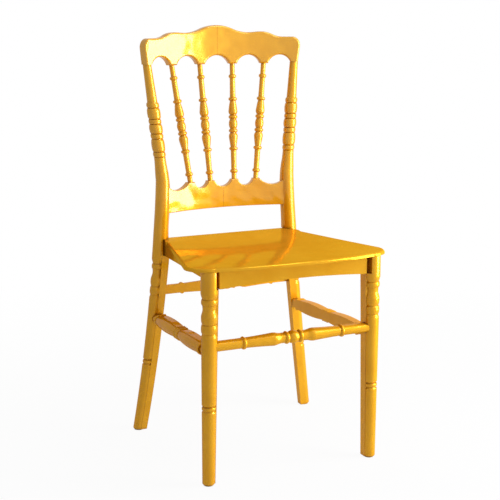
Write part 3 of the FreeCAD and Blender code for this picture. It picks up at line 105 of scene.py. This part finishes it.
def makePearlGold(name, changes=None):
    s = {**pearlGold, **(changes or {})}
    material, tree = newTree(name)
    place = addNode(tree, "ShaderNodeTexCoord").outputs["Object"]
    axes = addNode(tree, "ShaderNodeSeparateXYZ", links={"Vector": place})
    flow = addNode(tree, "ShaderNodeTexNoise",
                   {"Scale": perMetre(s["flowMm"]), "Detail": 3, "Distortion": s["flowBend"]},
                   {"Vector": place})
    flake = addNode(tree, "ShaderNodeTexNoise",
                    {"Scale": perMetre(s["flakeMm"]), "Detail": 2}, {"Vector": place})
    sink = addNode(tree, "ShaderNodeTexNoise",
                   {"Scale": perMetre(s["sinkMm"]), "Detail": 1}, {"Vector": place})
    streaks = addNode(tree, "ShaderNodeValToRGB", links={"Fac": flow.outputs["Fac"]})
    for i, shade in enumerate((s["gold"], s["paleGold"])):
        streaks.color_ramp.elements[i].position = s["flowRange"][i]
        streaks.color_ramp.elements[i].color = linear(shade)
    sparkle = addNode(tree, "ShaderNodeMapRange",
                      {"From Min": s["flakeRange"][0], "From Max": s["flakeRange"][1],
                       "To Min": 0.0, "To Max": s["flakeShare"]},
                      {"Value": flake.outputs["Fac"]})
    colour = addNode(tree, "ShaderNodeMix",
                     {"data_type": "RGBA", colourB: linear(s["amber"])},
                     {mixShare: sparkle.outputs["Result"], colourA: streaks.outputs["Color"]})
    # painted shade: ambient occlusion darkens the colour towards the groove shade in grooves, seams
    # and between parts
    shelter = addNode(tree, "ShaderNodeAmbientOcclusion",
                      {"samples": 8, "Distance": s["grooveMm"] / 1000})
    depth = addNode(tree, "ShaderNodeMapRange",
                    {"From Min": s["grooveRange"][0], "From Max": s["grooveRange"][1],
                     "To Min": s["grooveShare"], "To Max": 0.0},
                    {"Value": shelter.outputs["AO"]})
    shaded = addNode(tree, "ShaderNodeMix",
                     {"data_type": "RGBA", colourB: linear(s["groove"])},
                     {mixShare: depth.outputs["Result"], colourA: colour.outputs[colourOut]})
    gloss = addNode(tree, "ShaderNodeMapRange",
                    {"From Min": s["glossRange"][0], "From Max": s["glossRange"][1],
                     "To Min": s["roughness"] + s["glossSpread"][0],
                     "To Max": s["roughness"] + s["glossSpread"][1]},
                    {"Value": flake.outputs["Fac"]})
    wave = addNode(tree, "ShaderNodeBump", {"Strength": 1.0, "Distance": s["sinkDepth"]},
                   {"Height": sink.outputs["Fac"]})
    if "crownSlope" in s:  # the seat's top bends down to its front edge
        bend = addNode(tree, "ShaderNodeMath",
                       {"operation": "MULTIPLY_ADD", 1: -s["crownGrowth"], 2: s["crownSlope"]},
                       {0: axes.outputs["Y"]})
        drop = addNode(tree, "ShaderNodeMath", {"operation": "MULTIPLY"},
                       {0: axes.outputs["Y"], 1: bend.outputs[0]})
        facing = addNode(tree, "ShaderNodeNewGeometry").outputs["Normal"]
        up = addNode(tree, "ShaderNodeSeparateXYZ", links={"Vector": facing})
        onTop = addNode(tree, "ShaderNodeMapRange",
                        {"From Min": s["crownFacing"][0], "From Max": s["crownFacing"][1]},
                        {"Value": up.outputs["Z"]})
        rolled = addNode(tree, "ShaderNodeBump", {"Distance": 1.0},
                         {"Height": drop.outputs[0], "Strength": onTop.outputs["Result"]})
        tree.links.new(rolled.outputs["Normal"], wave.inputs["Normal"])
    skin = addNode(tree, "ShaderNodeBsdfPrincipled",  # its plain gloss comes from the coat alone
                   {"Metallic": s["metallic"], "IOR": s["index"], "Specular IOR Level": 0.0,
                    "Specular Tint": linear(s["edgeTint"]),
                    "Coat Roughness": s["coatRoughness"], "Coat IOR": s["coatIndex"]},
                   {"Base Color": shaded.outputs[colourOut],
                    "Roughness": gloss.outputs["Result"],
                    "Normal": wave.outputs["Normal"], "Coat Normal": wave.outputs["Normal"]})
    if "evenPolish" in s:
        skin.inputs["Coat Weight"].default_value = s["evenPolish"]
    else:
        polish = addNode(tree, "ShaderNodeMapRange",
                         {"From Min": s["polishFrom"][0], "From Max": s["polishFrom"][1],
                          "To Min": s["polish"][0], "To Max": s["polish"][1]},
                         {"Value": axes.outputs["Z"]})
        tree.links.new(polish.outputs["Result"], skin.inputs["Coat Weight"])
    addNode(tree, "ShaderNodeOutputMaterial", links={"Surface": skin.outputs["BSDF"]})
    return material


# the same plastic on the broad seat, where a worn-in polish leaves a satin skin
seatFinish = {
    "gold": "#DFA024",
    "paleGold": "#E5AA2E",
    "amber": "#D6971C",
    "grooveShare": 0.3,
    "metallic": 0.42,
    "edgeTint": "#F4D468",
    "roughness": 0.11,
    "evenPolish": 0.025,            # the same all over
    "crownSlope": 0.12,             # how its top bends: the slope at the middle,
    "crownGrowth": 0.6,             # how that grows towards the front,
    "crownFacing": (0.93, 0.99),    # and how far up the skin has to face
}

# and on the two flat rails, where uneven shrinking bends what they mirror
railFinish = {
    "sinkMm": 42,
    "sinkDepth": 0.0026,
    "evenPolish": 0.9,
    "coatRoughness": 0.12,
    "coatIndex": 1.6,
}

frameGold = makePearlGold("moulded pearl polypropylene")
railGold = makePearlGold("moulded pearl polypropylene rail", railFinish)
seatGold = makePearlGold("moulded pearl polypropylene seat", seatFinish)

# natural polyethylene, moulded: milky, soft-edged gloss, scuffed under the foot
glideFinish = {
    "milk": "#C9A45A",
    "scuff": "#8E6E35",
    "scuffMm": 3,
    "scuffRange": (0.45, 0.7),
    "scuffShare": 0.7,
    "index": 1.51,
    "roughness": 0.5,
    "glossSpread": (-0.08, 0.15),
}


def makeGlide(s):
    material, tree = newTree("moulded polyethylene")
    place = addNode(tree, "ShaderNodeTexCoord").outputs["Object"]
    scuff = addNode(tree, "ShaderNodeTexNoise",
                    {"Scale": perMetre(s["scuffMm"]), "Detail": 4}, {"Vector": place})
    worn = addNode(tree, "ShaderNodeMapRange",
                   {"From Min": s["scuffRange"][0], "From Max": s["scuffRange"][1],
                    "To Max": s["scuffShare"]},
                   {"Value": scuff.outputs["Fac"]})
    colour = addNode(tree, "ShaderNodeMix",
                     {"data_type": "RGBA", colourA: linear(s["milk"]),
                      colourB: linear(s["scuff"])},
                     {mixShare: worn.outputs["Result"]})
    gloss = addNode(tree, "ShaderNodeMapRange",
                    {"To Min": s["roughness"] + s["glossSpread"][0],
                     "To Max": s["roughness"] + s["glossSpread"][1]},
                    {"Value": scuff.outputs["Fac"]})
    skin = addNode(tree, "ShaderNodeBsdfPrincipled", {"IOR": s["index"]},
                   {"Base Color": colour.outputs[colourOut],
                    "Roughness": gloss.outputs["Result"]})
    addNode(tree, "ShaderNodeOutputMaterial", links={"Surface": skin.outputs["BSDF"]})
    return material


# zinc-plated steel and turned brass: bright metal, dulled in spots by fine tool marks
metalFinishes = {
    "bolt_steel": {
        "name": "zinc plated steel",
        "bright": "#C4C6C8",
        "dull": "#8F9296",
        "markMm": 0.6,
        "roughness": 0.32,
        "glossSpread": (-0.1, 0.15),
    },
    "insert_brass": {
        "name": "turned brass",
        "bright": "#D9B56A",
        "dull": "#A67F35",
        "markMm": 0.5,
        "roughness": 0.28,
        "glossSpread": (-0.1, 0.15),
    },
}


def makeMetal(s):
    material, tree = newTree(s["name"])
    place = addNode(tree, "ShaderNodeTexCoord").outputs["Object"]
    marks = addNode(tree, "ShaderNodeTexNoise",
                    {"Scale": perMetre(s["markMm"]), "Detail": 3}, {"Vector": place})
    colour = addNode(tree, "ShaderNodeMix",
                     {"data_type": "RGBA", colourA: linear(s["bright"]),
                      colourB: linear(s["dull"])},
                     {mixShare: marks.outputs["Fac"]})
    gloss = addNode(tree, "ShaderNodeMapRange",
                    {"To Min": s["roughness"] + s["glossSpread"][0],
                     "To Max": s["roughness"] + s["glossSpread"][1]},
                    {"Value": marks.outputs["Fac"]})
    skin = addNode(tree, "ShaderNodeBsdfPrincipled", {"Metallic": 1.0},
                   {"Base Color": colour.outputs[colourOut],
                    "Roughness": gloss.outputs["Result"]})
    addNode(tree, "ShaderNodeOutputMaterial", links={"Surface": skin.outputs["BSDF"]})
    return material


glide = makeGlide(glideFinish)
metals = {slotName: makeMetal(s) for slotName, s in metalFinishes.items()}

# each node takes its slot's finish, apart from the seat and the two rails
finishes = {"gold_resin": frameGold, "glide_plastic": glide, **metals}
goldFor = {"seat_shell": seatGold, "crest_rail": railGold, "lower_back_rail": railGold}
for nodeName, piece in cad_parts.items():
    for slot in piece.material_slots:
        slotName = slot.material.name.split(".")[0]
        slot.material = goldFor.get(nodeName, finishes[slotName])
print("finishes on", len(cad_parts), "nodes")

# the two halves of the tool leave a fine raised line down the middle of both back rails
partingLine = {
    "nodes": ("crest_rail", "lower_back_rail"),
    "width": 0.0009,
    "proud": 0.0003,
    "step": 0.0015,                 # from one cross section to the next
    "beside": 0.0003,               # the ray that finds the skin runs a hair beside the middle
    "inFront": -1.0,                # and starts well in front of the chair
    "finish": {"gold": "#C07A12", "paleGold": "#C88418", "amber": "#A8660C"},
}


def makePartingLine(node, s):
    low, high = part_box(node)
    rows = []
    z = low[2]
    while z < high[2]:
        hit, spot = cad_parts[node].ray_cast((s["beside"], s["inFront"], z),
                                                  (0.0, 1.0, 0.0))[:2]
        if hit:
            rows.append((spot.y, z))
        z += s["step"]
    ridge = [(-s["width"] / 2, s["proud"]), (0.0, -s["proud"]), (s["width"] / 2, s["proud"])]
    across = len(ridge)
    points = [(x, y + out, z) for y, z in rows for x, out in ridge]
    faces = [(i + j, i + j + 1, i + j + across + 1, i + j + across)
             for i in range(0, across * (len(rows) - 1), across) for j in range(across - 1)]
    name = "partingLine." + node
    mesh = bpy.data.meshes.new(name)
    mesh.from_pydata(points, [], faces)
    mesh.materials.append(seamGold)
    line = bpy.data.objects.new(name, mesh)
    bpy.context.scene.collection.objects.link(line)
    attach(line, "root")


seamGold = makePearlGold("moulded pearl polypropylene seam", partingLine["finish"])
for nodeName in partingLine["nodes"]:
    makePartingLine(nodeName, partingLine)
print("parting lines drawn")

# the studio: white all round to the camera and to what mirrors it, with a soft neutral fill
studio = {
    "floorRadius": 1.6,
    "floorSides": 64,
    "floorWhite": "#CFCFCF",
    "floorGlow": (0.95, 1.0),       # how white the floor looks, under the chair and at its rim
    "floorGlowFrom": 0.3,           # how far from the middle that starts to grow
    "fill": (0.17, 0.46),           # soft light from the room, at the left and at the right
    "fillFrom": (-0.7, 0.7),        # the directions between which that changes
}


def seenAsWhite(tree):  # 1 where the camera, a mirror or a clear part looks at the surface, else 0
    path = addNode(tree, "ShaderNodeLightPath")
    seen = addNode(tree, "ShaderNodeMath", {"operation": "MAXIMUM"},
                   {0: path.outputs["Is Camera Ray"], 1: path.outputs["Is Glossy Ray"]})
    return addNode(tree, "ShaderNodeMath", {"operation": "MAXIMUM"},
                   {0: seen.outputs[0], 1: path.outputs["Is Transmission Ray"]}).outputs[0]


def makeFloor(s):
    mesh = bpy.data.meshes.new("studioFloor")
    turns = [2 * math.pi * i / s["floorSides"] for i in range(s["floorSides"])]
    rim = [(s["floorRadius"] * math.cos(t), s["floorRadius"] * math.sin(t), 0) for t in turns]
    mesh.from_pydata(rim, [], [tuple(range(len(rim)))])
    floor = bpy.data.objects.new("studioFloor", mesh)
    bpy.context.scene.collection.objects.link(floor)
    material, tree = newTree("matt white paper")  # even and without gloss, so only the shadow shows
    place = addNode(tree, "ShaderNodeTexCoord").outputs["Object"]
    away = addNode(tree, "ShaderNodeVectorMath", {"operation": "LENGTH"}, {0: place})
    own = addNode(tree, "ShaderNodeMapRange",
                  {"From Min": s["floorGlowFrom"], "From Max": s["floorRadius"],
                   "To Min": s["floorGlow"][0], "To Max": s["floorGlow"][1]},
                  {"Value": away.outputs["Value"]})
    share = addNode(tree, "ShaderNodeMath", {"operation": "MULTIPLY"},
                    {0: seenAsWhite(tree), 1: own.outputs["Result"]})
    matt = addNode(tree, "ShaderNodeBsdfDiffuse", {"Color": linear(s["floorWhite"])})
    glow = addNode(tree, "ShaderNodeEmission", {"Color": (1, 1, 1, 1), "Strength": 1.0})
    both = addNode(tree, "ShaderNodeMixShader",
                   links={0: share.outputs[0], 1: matt.outputs[0], 2: glow.outputs[0]})
    addNode(tree, "ShaderNodeOutputMaterial", links={"Surface": both.outputs[0]})
    mesh.materials.append(material)


def makeRoom(s):
    world = bpy.data.worlds.new("studioRoom")
    bpy.context.scene.world = world
    world.use_nodes = True
    world.cycles.sampling_method = "NONE"  # what mirrors the room meets its white, not its fill
    tree = world.node_tree
    tree.nodes.clear()
    facing = addNode(tree, "ShaderNodeTexCoord").outputs["Generated"]
    axes = addNode(tree, "ShaderNodeSeparateXYZ", links={"Vector": facing})
    fill = addNode(tree, "ShaderNodeMapRange",
                   {"From Min": s["fillFrom"][0], "From Max": s["fillFrom"][1],
                    "To Min": s["fill"][0], "To Max": s["fill"][1]},
                   {"Value": axes.outputs["X"]})
    level = addNode(tree, "ShaderNodeMix", {"data_type": "FLOAT", floatB: 1.0},
                    {mixShare: seenAsWhite(tree), floatA: fill.outputs["Result"]})
    sky = addNode(tree, "ShaderNodeBackground", {"Color": (1, 1, 1, 1)},
                  {"Strength": level.outputs[floatOut]})
    addNode(tree, "ShaderNodeOutputWorld", links={"Surface": sky.outputs[0]})


softboxes = {
    "keySoftbox": {                 # the big one, at the right
        "at": (1.20, -0.76, 0.78),
        "target": (0.0, 0.0, 0.6),
        "size": (0.75, 1.5),
        "radiance": 10.0,
        "mirrored": True,
    },
    "topSoftbox": {                 # a small one overhead, for the upper edges of rings and lips
        "at": (0.55, -0.35, 1.95),
        "target": (0.0, 0.0, 0.45),
        "size": (0.5, 0.5),
        "radiance": 6.0,
        "mirrored": True,
    },
    "rearSoftbox": {                # a broad weak one behind, for the chair's back
        "at": (0.2, 1.7, 0.9),
        "target": (0.0, 0.0, 0.5),
        "size": (1.4, 1.1),
        "radiance": 2.4,
        "mirrored": False,          # unseen in reflections
    },
}


def addSoftbox(name, s):
    lamp = bpy.data.lights.new(name, "AREA")
    lamp.shape = "RECTANGLE"
    lamp.size, lamp.size_y = s["size"]
    lamp.energy = s["radiance"] * math.pi * s["size"][0] * s["size"][1]
    box = bpy.data.objects.new(name, lamp)
    box.location = s["at"]
    aim = Vector(s["target"]) - Vector(s["at"])
    box.rotation_euler = aim.to_track_quat("-Z", "Y").to_euler()
    box.visible_camera = False
    box.visible_glossy = s["mirrored"]
    bpy.context.scene.collection.objects.link(box)


makeFloor(studio)
makeRoom(studio)
for boxName, settings in softboxes.items():
    addSoftbox(boxName, settings)
print("studio lit")

# camera at the photograph's angle, worked out from the chair's own corners
view = {
    "at": (-1.0078, -2.2060, 0.9495),
    "pitch": 77.935,
    "turn": -24.309,
    "lens": 83.473,
    "sensor": 36.0,
}
camera = bpy.data.objects.new("camera", bpy.data.cameras.new("camera"))
camera.location = view["at"]
camera.rotation_euler = (math.radians(view["pitch"]), 0.0, math.radians(view["turn"]))
camera.data.lens = view["lens"]
camera.data.sensor_width = view["sensor"]
bpy.context.scene.collection.objects.link(camera)
bpy.context.scene.camera = camera
bpy.context.scene.view_settings.view_transform = "Standard"
print("camera set")
